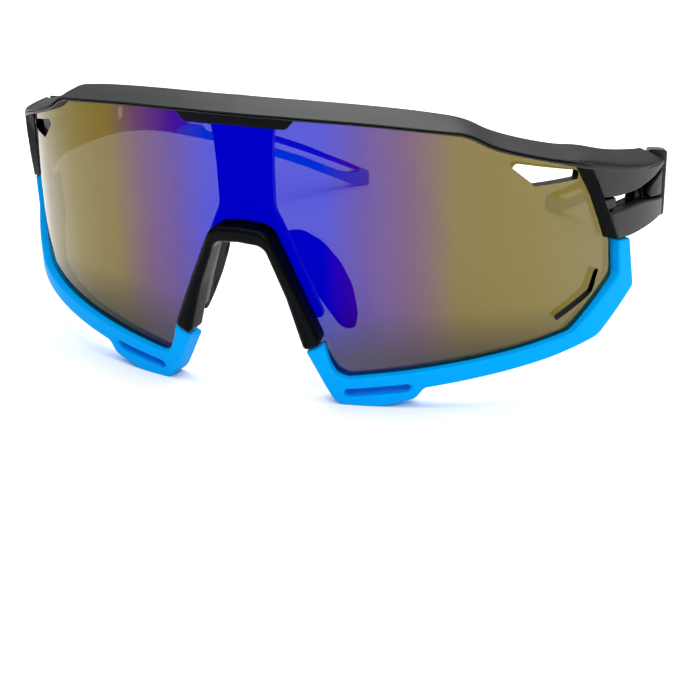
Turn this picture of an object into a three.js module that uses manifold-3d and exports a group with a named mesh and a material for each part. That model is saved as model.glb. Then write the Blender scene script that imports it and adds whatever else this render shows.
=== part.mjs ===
// Wraparound sport sunglasses. Millimetres: X across the face, Y back along the temples, Z up.
import * as THREE from 'three';
import { mergeVertices } from 'three/addons/utils/BufferGeometryUtils.js';
import Module from 'manifold-3d';

const wasm = await Module();
wasm.setup();

// ---------------------------------------------------------------- driving dimensions
const GAP = 0.3;                       // clearance between neighbouring pieces
const STRIP = 3;                       // curved plates are made of upright strips this wide
const TABLE = -36.1;                   // surface that the rims and the temple tips stand on
const FRONT_TILT = THREE.MathUtils.degToRad(6);

const LENS = { halfWidth: 70, depth: 45.5, thickness: 2, wrapX: 66 };
const FRAME = { lipOut: 1.5, creaseOut: 2, backOut: -3.6, plateBack: -2.2, plateOut: 1.9 };
const RIM = { backOut: -3.8, frontOut: 1.7 };
const BRIDGE = { backOut: -2.2, frontOut: 2.8 };
const POST = { backOut: -4.7, frontOut: -2.5 };
const PAD_FLARE = 0.18;                // radians that the nose pads open outwards towards the face

const SPLIT_Y = 48.3;                  // end-piece stops here, the temple starts one gap behind
const END_PIECE_SPAN = 95.6;           // flat-pattern distance from the nose line to the split
const TEMPLE = { outerX: 74, halfThick: 2, straight: 55.4, bendDepth: 67, bendIn: 25.5 };
const REST_FOLD = { right: 13, left: 4 };   // degrees that each temple stands swung in at rest
const HINGE = { x: 70.4, y: 50.6, radius: 2, bore: 1.05, low: 0.8, knuckle: 2.2, tongue: 2.8 };
const SCREW = { radius: 0.75, headRadius: 1.4, headHeight: 0.7 };

// ---------------------------------------------------------------- finishes
function finish(color, roughness, metalness = 0) {
  return new THREE.MeshStandardMaterial({ color, roughness, metalness });
}

const matteBlack = () => finish(0x2b2e2e, 0.5);
const glossBlack = () => finish(0x0c0e11, 0.22);
const skyBlue = () => finish(0x0099ff, 0.38);
const darkRubber = () => finish(0x2c312e, 0.7);
const steel = () => finish(0xb8bcc0, 0.3, 1);
function mirrorTint() {
  const material = finish(0x5a4bc8, 0.08, 0.4);
  material.transparent = true;
  material.opacity = 0.85;
  return material;
}

// ---------------------------------------------------------------- solids and booleans
function merged(geometry) {
  const bare = new THREE.BufferGeometry();
  bare.setAttribute('position', geometry.getAttribute('position'));
  bare.setIndex(geometry.getIndex());
  return mergeVertices(bare, 1e-4);
}

function solid(geometry) {
  const closed = merged(geometry);
  return new wasm.Manifold(new wasm.Mesh({
    numProp: 3,
    vertProperties: new Float32Array(closed.getAttribute('position').array),
    triVerts: new Uint32Array(closed.getIndex().array),
  }));
}

function geometryOf(body) {
  const mesh = body.getMesh();
  const geometry = new THREE.BufferGeometry();
  geometry.setAttribute('position', new THREE.BufferAttribute(mesh.vertProperties, 3));
  geometry.setIndex(new THREE.BufferAttribute(mesh.triVerts, 1));
  geometry.computeVertexNormals();
  return geometry;
}

// The same solid on the other side of the nose line.
function mirrored(body) {
  const mesh = body.getMesh();
  const positions = Float32Array.from(mesh.vertProperties, (value, i) => (i % 3 === 0 ? -value : value));
  const corners = Uint32Array.from(mesh.triVerts);
  for (let i = 0; i < corners.length; i += 3) {
    [corners[i], corners[i + 1]] = [corners[i + 1], corners[i]];
  }
  return new wasm.Manifold(new wasm.Mesh({ numProp: 3, vertProperties: positions, triVerts: corners }));
}

function block(low, high) {
  const size = high.map((value, i) => value - low[i]);
  const box = new THREE.BoxGeometry(...size);
  box.translate(...low.map((value, i) => value + size[i] / 2));
  return solid(box);
}

// An upright round post from z = low to z = high.
function post(x, y, low, high, radius, sides = 20) {
  const cylinder = new THREE.CylinderGeometry(radius, radius, high - low, sides);
  cylinder.rotateX(Math.PI / 2);
  cylinder.translate(x, y, (low + high) / 2);
  return solid(cylinder);
}

// ---------------------------------------------------------------- curved surfaces
// A flat pattern is drawn with s along the plan curve and h up, then wrapped: "out" is the
// distance from the curve, away from the wearer.
function surface(plan, tilt, thin) {
  const length = plan.getLength();
  const across = new THREE.Vector3(1, 0, 0);
  return (s, h, out) => {
    const part = Math.min(Math.abs(s) / length, 1);
    const point = plan.getPoint(part);
    const along = plan.getTangent(part);
    const reach = out * thin(Math.abs(s));
    const x = point.x + along.y * reach;
    const y = point.y - along.x * reach;
    return new THREE.Vector3(s < 0 ? -x : x, y, h).applyAxisAngle(across, tilt);
  };
}

function frontPlan() {
  const { halfWidth, depth, wrapX } = LENS;
  const plan = new THREE.CurvePath();
  const turn = Math.asin(wrapX / halfWidth);
  plan.add(new THREE.EllipseCurve(0, depth, halfWidth, depth, -Math.PI / 2, turn - Math.PI / 2));
  const join = plan.curves[0].getPoint(1);
  const corner = new THREE.Vector2(71.8, 41);
  const rear = new THREE.Vector2(72.2, 49);
  plan.add(new THREE.QuadraticBezierCurve(join, corner, rear));
  plan.add(new THREE.LineCurve(rear, new THREE.Vector2(72.25, 53)));
  return plan;
}

function templePlan() {
  const x = TEMPLE.outerX - TEMPLE.halfThick;
  const start = new THREE.Vector2(x, SPLIT_Y + GAP);
  const bend = new THREE.Vector2(x, start.y + TEMPLE.straight);
  const corner = new THREE.Vector2(x, bend.y + TEMPLE.bendDepth / 2);
  const end = new THREE.Vector2(x - TEMPLE.bendIn, bend.y + TEMPLE.bendDepth);
  const plan = new THREE.CurvePath();
  plan.add(new THREE.LineCurve(start, bend));
  plan.add(new THREE.QuadraticBezierCurve(bend, corner, end));
  return plan;
}

// Temples thin out from the hinge to the slim rear prongs.
function templeThinning(s) {
  return THREE.MathUtils.lerp(1, 0.62, THREE.MathUtils.smoothstep(s, 8, 60));
}

const onFront = surface(frontPlan(), FRONT_TILT, () => 1);
const onTemple = surface(templePlan(), 0, templeThinning);

function corner(s, h) {
  return new THREE.Vector2(s, h);
}

function outlineOf(...pairs) {
  return pairs.map(([s, h]) => corner(s, h));
}

// Left half added to a right half that starts and ends on the nose line.
function bothSides(half) {
  const left = half.slice(1, -1).reverse().map((point) => corner(-point.x, point.y));
  return [...half, ...left];
}

// The outline moved outward by a distance, with mitred corners.
function grown(outline, distance) {
  const clockwise = THREE.ShapeUtils.isClockWise(outline) ? -1 : 1;
  return outline.map((point, i) => {
    const before = outline[(i + outline.length - 1) % outline.length];
    const after = outline[(i + 1) % outline.length];
    const first = point.clone().sub(before).normalize();
    const second = after.clone().sub(point).normalize();
    const away = corner(first.y + second.y, -first.x - second.x).normalize();
    const mitre = away.x * first.y - away.y * first.x;
    return point.clone().addScaledVector(away, (clockwise * distance) / mitre);
  });
}

function counterClockwise(outline) {
  return THREE.ShapeUtils.isClockWise(outline) ? [...outline].reverse() : outline;
}

// A smooth closed outline through a few points.
function rounded(points, steps = 28) {
  const lifted = points.map(([x, y]) => new THREE.Vector3(x, y, 0));
  const curve = new THREE.CatmullRomCurve3(lifted, true);
  return curve.getPoints(steps).slice(0, -1).map((point) => corner(point.x, point.y));
}

// Flat strips of a plate, cut at every multiple of STRIP along s.
function stripsOf(geometry) {
  const { min, max } = geometry.boundingBox;
  const plate = solid(geometry);
  const strips = [];
  for (let k = Math.floor(min.x / STRIP); k * STRIP < max.x; k += 1) {
    const low = [k * STRIP, min.y - 1, min.z - 1];
    const high = [(k + 1) * STRIP, max.y + 1, max.z + 1];
    strips.push(plate.intersect(block(low, high)).getMesh());
  }
  return strips;
}

// A face that the cutting left between two strips, which the stitching drops.
function isCutFace(corners, { min, max }) {
  const line = Math.round(corners[0].x / STRIP) * STRIP;
  const inside = line > min.x + 1e-3 && line < max.x - 1e-3;
  const flat = corners.every((point) => Math.abs(point.x - line) < 1e-3);
  return inside && flat && new THREE.Triangle(...corners).getArea() > 1e-6;
}

// Two strips can differ in the points along a seam: flat triangles fill such open loops.
function seamsClosed(triangles) {
  const edges = triangles.flatMap(([a, b, c]) => [[a, b], [b, c], [c, a]]);
  const present = new Set(edges.map(([from, to]) => `${from} ${to}`));
  const open = new Map(edges.filter(([from, to]) => !present.has(`${to} ${from}`)));
  const fillers = [];
  while (open.size > 0) {
    const [first] = open.keys();
    const loop = [];
    for (let at = first; open.has(at); at = loop.at(-1)) {
      loop.push(open.get(at));
      open.delete(at);
    }
    for (let i = 1; i < loop.length - 1; i += 1) {
      fillers.push([loop[0], loop[i + 1], loop[i]]);
    }
  }
  return [...triangles, ...fillers];
}

// A flat plate laid on a surface, as strips stitched side by side.
function wrapped(place, outline, outMin, outMax, holes = []) {
  const shape = new THREE.Shape(counterClockwise(outline));
  shape.holes = holes.map((hole) => new THREE.Path(hole));
  const geometry = new THREE.ExtrudeGeometry(shape, { depth: outMax - outMin, bevelEnabled: false });
  geometry.translate(0, 0, outMin);
  geometry.computeBoundingBox();
  const placed = [];
  const triangles = [];
  const numbers = new Map();
  const numberOf = (point) => {
    const key = point.toArray().map((value) => Math.round(value * 2000)).join();
    if (!numbers.has(key)) numbers.set(key, placed.push(place(point.x, point.y, point.z)) - 1);
    return numbers.get(key);
  };
  for (const { vertProperties, triVerts } of stripsOf(geometry)) {
    for (let i = 0; i < triVerts.length; i += 3) {
      const corners = [0, 1, 2].map((k) => new THREE.Vector3().fromArray(vertProperties, 3 * triVerts[i + k]));
      if (!isCutFace(corners, geometry.boundingBox)) triangles.push(corners.map(numberOf));
    }
  }
  return new wasm.Manifold(new wasm.Mesh({
    numProp: 3,
    vertProperties: new Float32Array(placed.flatMap((point) => point.toArray())),
    triVerts: new Uint32Array(seamsClosed(triangles).flat()),
  }));
}

// A bar along the front: sectionAt(s) lists its corners as [out, h], front low corner first,
// then round by the back.
function frontBar(span, steps, sectionAt) {
  const sides = sectionAt(0).length;
  const bar = merged(new THREE.CylinderGeometry(1, 1, 2, sides, steps));
  const positions = bar.getAttribute('position');
  for (let i = 0; i < positions.count; i += 1) {
    const s = positions.getY(i) * span;
    const section = sectionAt(Math.abs(s));
    const onAxis = Math.hypot(positions.getX(i), positions.getZ(i)) < 0.5;
    const angle = Math.atan2(positions.getX(i), positions.getZ(i)) / (2 * Math.PI);
    const middle = [0, 1].map((k) => section.reduce((sum, point) => sum + point[k], 0) / sides);
    const [out, h] = onAxis ? middle : section[(Math.round(angle * sides) + sides) % sides];
    const point = onFront(s, h, out);
    positions.setXYZ(i, point.x, point.y, point.z);
  }
  return solid(bar);
}

// A height that follows a soft line through [s, h] points.
function heightLine(...pairs) {
  const line = new THREE.SplineCurve(outlineOf(...pairs)).getPoints(240);
  return (s) => {
    const next = Math.max(line.findIndex((point) => point.x >= s), 1);
    const [a, b] = [line[next - 1], line[next]];
    return THREE.MathUtils.lerp(a.y, b.y, THREE.MathUtils.clamp((s - a.x) / (b.x - a.x), 0, 1));
  };
}

// ---------------------------------------------------------------- shield lens
const lensHalf = outlineOf(
  [0, 26], [27.3, 25.1], [44.6, 22.5], [47.6, 20.7], [51.6, 18.4], [57, 16.3], [65, 13.4], [69.8, 11.9],
  [73.7, 3.7], [75.4, 0], [78.2, -6.4], [78.9, -14.8], [67.6, -24.1], [57.7, -25.8], [45.2, -27.8],
  [33.1, -29.4], [20.6, -31.2], [18.3, -30.4], [17, -28], [15.1, -23.1], [9.9, -10.9], [6, -1.5],
  [4.5, 0], [0, 0.4],
);

function shieldLens() {
  const bladeVent = outlineOf([54.6, 13], [55.4, 13.9], [69.1, 10.2], [68.8, 8.6], [59.4, 8.8]);
  const slit = outlineOf(
    [73.9, -12.1], [75.1, -12.4], [73.2, -17.1], [64.5, -21.2], [63.9, -20.1], [72.2, -16.1],
  );
  const holes = [bladeVent, slit].flatMap((hole) => [hole, hole.map((p) => corner(-p.x, p.y))]);
  return wrapped(onFront, bothSides(lensHalf), -LENS.thickness, 0, holes);
}

// The room that a rim leaves for the lens edge.
function lensSlot() {
  return wrapped(onFront, bothSides(grown(lensHalf, GAP)).map(onNoseLine), -LENS.thickness - GAP, GAP);
}

function onNoseLine(point) {
  return Math.abs(point.x) < 1 ? corner(0, point.y) : point;
}

// ---------------------------------------------------------------- brow frame and end-pieces
const lipHeight = heightLine(
  [-1, 24.6], [12.2, 24.3], [27.3, 23.4], [44, 21], [46.6, 20], [50.6, 17.7], [56, 15.7],
  [64.5, 12.8], [70, 10.9], [79, 8], [87, 5.8], [100, 2.6],
);
const creaseHeight = heightLine(
  [-1, 25.3], [12.2, 25.1], [27.3, 24.2], [44, 21.9], [46.6, 21], [50.6, 18.7], [56, 16.6],
  [64.5, 13.8], [71, 12.2], [79.3, 9.4], [87, 7.3], [100, 4.2],
);
const topHeight = heightLine(
  [-1, 27.5], [18, 27], [31.8, 25.8], [42.5, 24], [46.5, 22.7], [50.5, 20.6], [56, 18.5],
  [64.5, 15.9], [71, 14.4], [79.3, 11.6], [87, 9.5], [100, 6.3],
);

function browSection(s) {
  const lip = lipHeight(s);
  return [
    [FRAME.lipOut, lip], [FRAME.backOut, lip - 0.2], [FRAME.backOut, topHeight(s)],
    [FRAME.creaseOut, creaseHeight(s)], [FRAME.creaseOut, creaseHeight(s) - 0.5],
  ];
}

function endPiece() {
  const plate = wrapped(
    onFront,
    outlineOf(
      [69.3, 12.3], [79.3, 9.2], [87, 7.1], [98, 4.5], [98, -6.6], [94.2, -6.8], [82.8, -7],
      [78.5, -6.4], [75.9, 0], [74.2, 3.8], [70.4, 11.3],
    ),
    FRAME.plateBack, FRAME.plateOut,
    [outlineOf([78.6, 3], [84.7, 2.7], [86, 1.2], [85.8, -0.4], [78.8, -0.1])],
  );
  const blockRecess = wrapped(
    onFront, outlineOf([72.5, 3.7], [78.7, 3], [78.7, -0.1], [74.5, 0]), 0.9, 3,
  );
  const coverRecess = wrapped(
    onFront,
    outlineOf([84.4, 2.8], [95, 4.8], [98, 5], [98, -3], [94, -2.9], [87.9, -1], [85.4, -0.6]),
    0.2, 3,
  );
  const hingePad = block([68.4, 41, -0.6], [71.4, SPLIT_Y, 10.2]);
  return plate.subtract(blockRecess).subtract(coverRecess).add(hingePad);
}

const knuckles = [0, 1].map((k) => {
  const low = HINGE.low + k * (HINGE.knuckle + HINGE.tongue + 2 * GAP);
  return { low, high: low + HINGE.knuckle };
});

function fixedKnuckles() {
  return knuckles.map(({ low, high }) => {
    const arm = block([HINGE.x - HINGE.radius, SPLIT_Y - 2, low], [HINGE.x + HINGE.radius, HINGE.y, high]);
    const eye = post(HINGE.x, HINGE.y, low, high, HINGE.radius);
    return arm.add(eye).subtract(post(HINGE.x, HINGE.y, low - 1, high + 1, HINGE.bore));
  });
}

function browFrame() {
  const bar = frontBar(END_PIECE_SPAN + 3, 78, browSection);
  const side = endPiece();
  const behindSplit = block([-90, SPLIT_Y, -30], [90, 70, 40]);
  const shell = bar.add(side).add(mirrored(side)).subtract(lensSlot()).subtract(behindSplit);
  const eyes = fixedKnuckles().reduce((sum, eye) => sum.add(eye));
  return shell.subtract(lensClipRoom()).add(eyes).add(mirrored(eyes));
}

// A glossy cover over the hinge mount, between the two arms of the end-piece.
function hingeCover() {
  const outline = outlineOf([88.4, 1.1], [90, 2.1], [95, 3.6], [95.2, 3.3], [94.9, -2.2], [89.2, -0.8]);
  const cover = wrapped(onFront, outline, 0.2 + GAP, 1.9);
  return cover.subtract(block([60, SPLIT_Y - 0.1, -30], [90, 70, 40]));
}

// ---------------------------------------------------------------- lens clip at the brow centre
const clipHalf = outlineOf([0, 24.9], [13, 24.6], [11, 22.3], [0, 22.5]);

function lensClip() {
  return wrapped(onFront, bothSides(clipHalf), GAP, 1.4);
}

function lensClipRoom() {
  const room = bothSides(grown(clipHalf, GAP)).map(onNoseLine);
  return wrapped(onFront, room, 0, 1.4 + GAP);
}

// ---------------------------------------------------------------- lower rims
function lowerRim() {
  const nose = [[20.4, -36.8], [18.6, -35.6], [17.3, -33.6], [12.9, -24.9], [16.6, -23.1]];
  const inner = [
    [18.5, -27.6], [19.6, -29.1], [21.2, -29.8], [33, -28.1], [45, -26.4], [57.5, -24.4],
    [67, -22.8], [77.5, -14.3], [77, -6.9],
  ];
  const outer = [
    [82.7, -7.4], [84.3, -18.5], [73.8, -26.4], [62.5, -28.4], [49.1, -30.4], [36.7, -32.3],
    [34.8, -34.7], [28.6, -36.5],
  ];
  const vent = outlineOf([21, -32.9], [33.6, -31.4], [34.3, -31.9], [33.4, -33.2], [21, -34.6], [20.3, -33.8]);
  const rim = wrapped(
    onFront, outlineOf(...nose, ...inner, ...outer), RIM.backOut, RIM.frontOut, [vent],
  );
  return rim.subtract(lensSlot()).subtract(underTable());
}

function underTable() {
  return block([-90, -20, TABLE - 20], [90, 190, TABLE]);
}

// ---------------------------------------------------------------- nose bridge and centre post
function noseBridge() {
  const half = outlineOf(
    [0, 1.6], [4.6, 1.3], [6.1, 0.4], [7.1, -1.1], [11.2, -10.4], [16.4, -22.8], [12.7, -24.6],
    [9.4, -12.9], [5.8, -3.8], [5, -2.6], [3.8, -2.1], [0, -1.9],
  );
  const arch = wrapped(onFront, bothSides(half), BRIDGE.backOut, BRIDGE.frontOut);
  return arch.subtract(lensSlot());
}

function centrePost() {
  const half = outlineOf(
    [0, 23.9], [7.4, 23.8], [6.6, 18], [6.3, 12], [6.2, 4], [7.6, 1.2], [9.5, -3], [13.2, -11.5],
    [16, -18.6], [12.1, -20], [9.9, -12.9], [6.7, -3.3], [5.2, -1.7], [0, -1.4],
  );
  return wrapped(onFront, bothSides(half), POST.backOut, POST.frontOut);
}

// Leaf-shaped wing: u runs back from the post leg, v down along it.
function nosePad() {
  const leaf = rounded(
    [[0, 1], [4.5, 3], [9.2, 8], [12, 14], [12.6, 20], [10.6, 25.6], [7.4, 28], [4.6, 25.6], [2.8, 20], [0.7, 12]],
  );
  const slots = [[8.4, 12], [7.8, 21]].map(([u, v]) => outlineOf(
    [u - 0.5, v - 1.3], [u + 0.5, v - 1.3], [u + 0.5, v + 1.3], [u - 0.5, v + 1.3],
  ));
  const shape = new THREE.Shape(counterClockwise(leaf));
  shape.holes = slots.map((slot) => new THREE.Path(slot));
  const pad = new THREE.ExtrudeGeometry(shape, { depth: 1.7, bevelEnabled: false });
  pad.translate(0, 0, -0.85);
  const top = onFront(7, -0.5, POST.backOut - GAP - 0.5);
  const bottom = onFront(15.6, -21.5, POST.backOut - GAP - 0.5);
  const down = bottom.clone().sub(top).normalize();
  const back = new THREE.Vector3(Math.sin(PAD_FLARE), Math.cos(PAD_FLARE), 0);
  const through = back.clone().cross(down).normalize();
  back.crossVectors(down, through);
  pad.applyMatrix4(new THREE.Matrix4().makeBasis(back, down, through).setPosition(top));
  return solid(pad);
}

// ---------------------------------------------------------------- temples
function templeArm() {
  const top = [
    [0, 12.1], [14, 9.2], [26.5, 6.3], [38, 3.2], [49, -0.1], [60, -3.8], [67, -6.2], [84.8, -12.2],
    [106, -21], [120.2, -27.8], [125.9, -30.6],
  ];
  const prongUnderside = [
    [124.1, -31.2], [120.2, -29.4], [106, -23], [84.8, -14.3], [69.5, -8.9], [67.6, -8.4],
  ];
  const underside = [
    [66.4, -8.2], [60, -6.5], [54.5, -6.6], [52.2, -7.5], [49, -7], [38, -4.2], [28, -2.4], [20, -1.6],
    [10, -1.4], [0, -1.9],
  ];
  const window = outlineOf([24.4, 4.8], [30.2, 3.7], [30.8, 3], [30.6, 0.4], [25, 0.9], [24.2, 1.6]);
  const arm = wrapped(
    onTemple, outlineOf(...top, ...prongUnderside, ...underside), -TEMPLE.halfThick, TEMPLE.halfThick,
    [window],
  );
  const pocket = block(
    [60, SPLIT_Y - 1, HINGE.low - 0.6],
    [HINGE.x + HINGE.radius + GAP, HINGE.y + HINGE.radius + GAP, knuckles[1].high + 1.6],
  );
  return arm.subtract(pocket).add(tongue());
}

function tongue() {
  const low = knuckles[0].high + GAP;
  const high = low + HINGE.tongue;
  const eye = post(HINGE.x, HINGE.y, low, high, HINGE.radius);
  const arm = block([HINGE.x - HINGE.radius, HINGE.y, low], [HINGE.x + HINGE.radius, HINGE.y + 5, high]);
  return eye.add(arm).subtract(post(HINGE.x, HINGE.y, low - 1, high + 1, HINGE.bore));
}

function templeGrip() {
  const upperEdge = [
    [52.4, -8.1], [54.6, -6.95], [60, -6.85], [66.2, -8.6], [67.6, -10.4], [84.8, -16], [106, -24.7],
    [119, -30.9], [121.6, -31.7], [124, -31.6], [126.4, -30.8],
  ];
  const tip = [[129.6, -32.2], [131, -33.4], [130.8, -34.8], [129.4, -36], [127.4, -36.4], [124, -36]];
  const lowerEdge = [[120.2, -34.2], [106.6, -27.7], [84.8, -18.6], [67.4, -12.8], [60, -10.4], [54.4, -8.7]];
  const grip = wrapped(
    onTemple, outlineOf(...upperEdge, ...tip, ...lowerEdge), -TEMPLE.halfThick, TEMPLE.halfThick,
  );
  return grip.subtract(underTable());
}

// A left temple piece is mirrored first, then swung in the other way about its own hinge.
function swungIn(body, side, degrees) {
  const x = side * HINGE.x;
  return body.translate([-x, -HINGE.y, 0]).rotate([0, 0, side * degrees]).translate([x, HINGE.y, 0]);
}

function hingeScrew() {
  const low = knuckles[0].low;
  const high = knuckles[1].high + 0.15;
  const shank = post(HINGE.x, HINGE.y, low, high + 0.1, SCREW.radius, 14);
  const head = post(HINGE.x, HINGE.y, high, high + SCREW.headHeight, SCREW.headRadius, 18);
  const drive = block([HINGE.x - 2, HINGE.y - 0.2, high + 0.4], [HINGE.x + 2, HINGE.y + 0.2, high + 2]);
  return shank.add(head).subtract(drive);
}

// ---------------------------------------------------------------- the assembly
const glasses = new THREE.Group();

function place(name, body, material) {
  const piece = new THREE.Mesh(geometryOf(body), material);
  piece.name = name;
  glasses.add(piece);
}

function placePair(name, body, material) {
  place(`${name}_right`, body, material());
  place(`${name}_left`, mirrored(body), material());
}

place('brow_frame', browFrame(), matteBlack());
place('shield_lens', shieldLens(), mirrorTint());
place('lens_clip', lensClip(), glossBlack());
place('nose_bridge_rim', noseBridge(), glossBlack());
place('centre_post', centrePost(), matteBlack());
placePair('lower_rim', lowerRim(), skyBlue);
placePair('hinge_cover', hingeCover(), glossBlack);
placePair('nose_pad', nosePad(), darkRubber);
for (const [name, body, material] of [['arm', templeArm(), matteBlack], ['grip', templeGrip(), skyBlue]]) {
  place(`temple_${name}_right`, swungIn(body, 1, REST_FOLD.right), material());
  place(`temple_${name}_left`, swungIn(mirrored(body), -1, REST_FOLD.left), material());
}
placePair('hinge_screw', hingeScrew(), steel);

// Stand the glasses on z = 0, centred over the origin.
const bounds = new THREE.Box3().setFromObject(glasses);
const middle = bounds.getCenter(new THREE.Vector3());
glasses.position.set(-middle.x, -middle.y, -TABLE);

export default glasses;
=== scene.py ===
"""Looks of the wraparound sport sunglasses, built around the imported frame.

Sizes are millimetres in the glasses' own drawing: X across the face, Y back along the temples,
Z up. The front is drawn flat, with s along its plan curve from the nose line, h up and "out"
away from the wearer, and then laid on the curve.
"""

import logging
import math
from dataclasses import dataclass
from enum import Enum
from typing import Any, Callable, Sequence

import bmesh
import bpy
import numpy as np
from mathutils import Matrix, Vector

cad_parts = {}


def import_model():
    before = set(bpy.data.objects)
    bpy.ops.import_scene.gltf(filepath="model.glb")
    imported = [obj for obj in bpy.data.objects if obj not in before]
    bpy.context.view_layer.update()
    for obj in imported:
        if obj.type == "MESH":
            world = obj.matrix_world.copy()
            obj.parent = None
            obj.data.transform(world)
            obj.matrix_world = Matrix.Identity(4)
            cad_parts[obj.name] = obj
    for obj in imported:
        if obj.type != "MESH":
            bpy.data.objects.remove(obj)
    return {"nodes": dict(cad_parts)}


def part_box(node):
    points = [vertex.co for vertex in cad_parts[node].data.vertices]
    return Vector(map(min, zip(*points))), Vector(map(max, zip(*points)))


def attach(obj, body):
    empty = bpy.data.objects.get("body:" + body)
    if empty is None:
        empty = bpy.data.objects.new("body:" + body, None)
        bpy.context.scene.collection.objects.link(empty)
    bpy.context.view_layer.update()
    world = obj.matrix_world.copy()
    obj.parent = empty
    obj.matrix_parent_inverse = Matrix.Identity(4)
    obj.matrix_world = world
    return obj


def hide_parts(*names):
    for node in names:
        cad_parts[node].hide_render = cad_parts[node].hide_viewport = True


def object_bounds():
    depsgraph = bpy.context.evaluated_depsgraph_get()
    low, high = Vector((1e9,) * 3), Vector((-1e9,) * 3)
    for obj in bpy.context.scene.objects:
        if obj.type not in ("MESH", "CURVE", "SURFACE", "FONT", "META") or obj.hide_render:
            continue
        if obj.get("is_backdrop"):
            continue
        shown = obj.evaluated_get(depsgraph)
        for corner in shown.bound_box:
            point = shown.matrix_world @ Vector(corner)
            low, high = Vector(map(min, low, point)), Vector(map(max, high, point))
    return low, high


log = logging.getLogger("sunglasses")

MM = 0.001
TABLE_HEIGHT = -36.1
TEMPLE_START = 48.6
HINGE_X = 70.4
HINGE_Y = 50.6
HINGE_RADIUS = 2.0
EYE_LEVELS = (0.8, 6.4)
EYE_HEIGHT = 2.2
TONGUE_LEVELS = (3.3, 6.1)
VIEW_CENTRE = (0, 20, -20)
CORNER_STEPS = 5
EDGE_STEPS = 3
STRIP = 0.75  # width of the strips that a flat plate is bent in
TINY = 1e-4
FOLD_ANGLE = 0.5  # radians above which an edge counts as a corner
SHARP_ANGLE = math.radians(38)

Corner = tuple[float, ...]
Place = Callable[[float, float, float], Vector]
Section = list[tuple[float, float]]


class Side(Enum):
    """The wearer-independent side: right is +X."""

    RIGHT = 1
    LEFT = -1

    @property
    def word(self) -> str:
        """The side as it stands in a piece's name."""
        return self.name.lower()


class Body(Enum):
    """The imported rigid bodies."""

    FRONT = "front"
    TEMPLE_RIGHT = "temple_right"
    TEMPLE_LEFT = "temple_left"


class Slot(Enum):
    """The record's material slots, which are also the materials' names."""

    MATTE = "matte_black"
    GLOSS = "gloss_black"
    BLUE = "sky_blue"
    GRIP = "blue_rubber"
    PAD = "pad_rubber"
    TINT = "mirror_tint"
    STEEL = "screw_steel"


# ---------------------------------------------------------------- plan curves
@dataclass
class PlanCurve:
    """A curve seen from above, measured by the distance s along it.

    Attributes:
        points: Close points of the curve, in order.
        tilt: Turn of the finished surface about the X axis, in radians.
        thinning: Share of the full thickness at a distance s.
    """

    points: np.ndarray
    tilt: float = 0.0
    thinning: Callable[[float], float] = lambda s: 1.0

    def __post_init__(self) -> None:
        """Measures the curve and its direction."""
        steps = np.linalg.norm(np.diff(self.points, axis=0), axis=1)
        self.lengths = np.concatenate([[0.0], np.cumsum(steps)])
        self.directions = np.gradient(self.points, self.lengths, axis=0)

    def place(self, s: float, h: float, out: float) -> Vector:
        """Puts a flat-pattern point on the surface.

        Args:
            s: Distance along the curve; negative on the left.
            h: Height.
            out: Distance from the curve, away from the wearer.

        Returns:
            The point in the drawing's millimetres.
        """
        reach = abs(s)
        x, y = (np.interp(reach, self.lengths, self.points[:, k]) for k in range(2))
        dx, dy = (np.interp(reach, self.lengths, self.directions[:, k]) for k in range(2))
        size = math.hypot(dx, dy)
        depth = out * self.thinning(reach)
        point = Vector((x + depth * dy / size, y - depth * dx / size, h))
        if s < 0:
            point.x = -point.x
        point.rotate(Matrix.Rotation(self.tilt, 3, "X"))
        return point


def bezier(start: Corner, corner: Corner, end: Corner, steps: int = 160) -> np.ndarray:
    """Points of a quadratic curve.

    Args:
        start: First point.
        corner: Point that the curve is pulled towards.
        end: Last point.
        steps: Number of points.

    Returns:
        The points, one a row.
    """
    t = np.linspace(0, 1, steps)[:, None]
    a, b, c = (np.array(point, float) for point in (start, corner, end))
    return (1 - t) ** 2 * a + 2 * t * (1 - t) * b + t**2 * c


def straight(start: Corner, end: Corner, steps: int = 60) -> np.ndarray:
    """Points of a straight line."""
    return np.linspace(start, end, steps)


def joined(*runs: np.ndarray) -> np.ndarray:
    """Runs of points that start where the one before ends, as one run."""
    return np.concatenate([runs[0], *(run[1:] for run in runs[1:])])


@dataclass
class FrontShape:
    """The wrapped shape that the lens, the brow and the rims share."""

    half_width: float = 70.0
    depth: float = 45.5
    wrap_x: float = 66.0
    rear_x: float = 72.2
    tilt_deg: float = 6.0

    def curve(self) -> PlanCurve:
        """The plan: an elliptical front that bends round into nearly straight sides."""
        turn = np.linspace(0, math.asin(self.wrap_x / self.half_width), 900)
        ellipse = np.stack(
            [self.half_width * np.sin(turn), self.depth * (1 - np.cos(turn))], axis=1
        )
        bend = bezier(tuple(ellipse[-1]), (71.8, 41.0), (self.rear_x, 49.0))
        side = straight((self.rear_x, 49.0), (self.rear_x + 0.05, 53.0))
        return PlanCurve(joined(ellipse, bend, side), math.radians(self.tilt_deg))


@dataclass
class TempleShape:
    """The plan of a temple: straight back from the hinge, then in behind the head."""

    x: float = 72.0
    straight_run: float = 55.4
    bend_depth: float = 67.0
    bend_in: float = 25.5
    slim: float = 0.62

    def thinning(self, s: float) -> float:
        """Share of the full thickness left at a distance s from the hinge."""
        return 1 + (self.slim - 1) * eased(s, 8, 60)

    def curve(self) -> PlanCurve:
        """The plan curve of the right temple."""
        bend_y = TEMPLE_START + self.straight_run
        back = straight((self.x, TEMPLE_START), (self.x, bend_y))
        corner = (self.x, bend_y + self.bend_depth / 2)
        end = (self.x - self.bend_in, bend_y + self.bend_depth)
        return PlanCurve(joined(back, bezier((self.x, bend_y), corner, end, 400)), 0.0, self.thinning)


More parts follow.
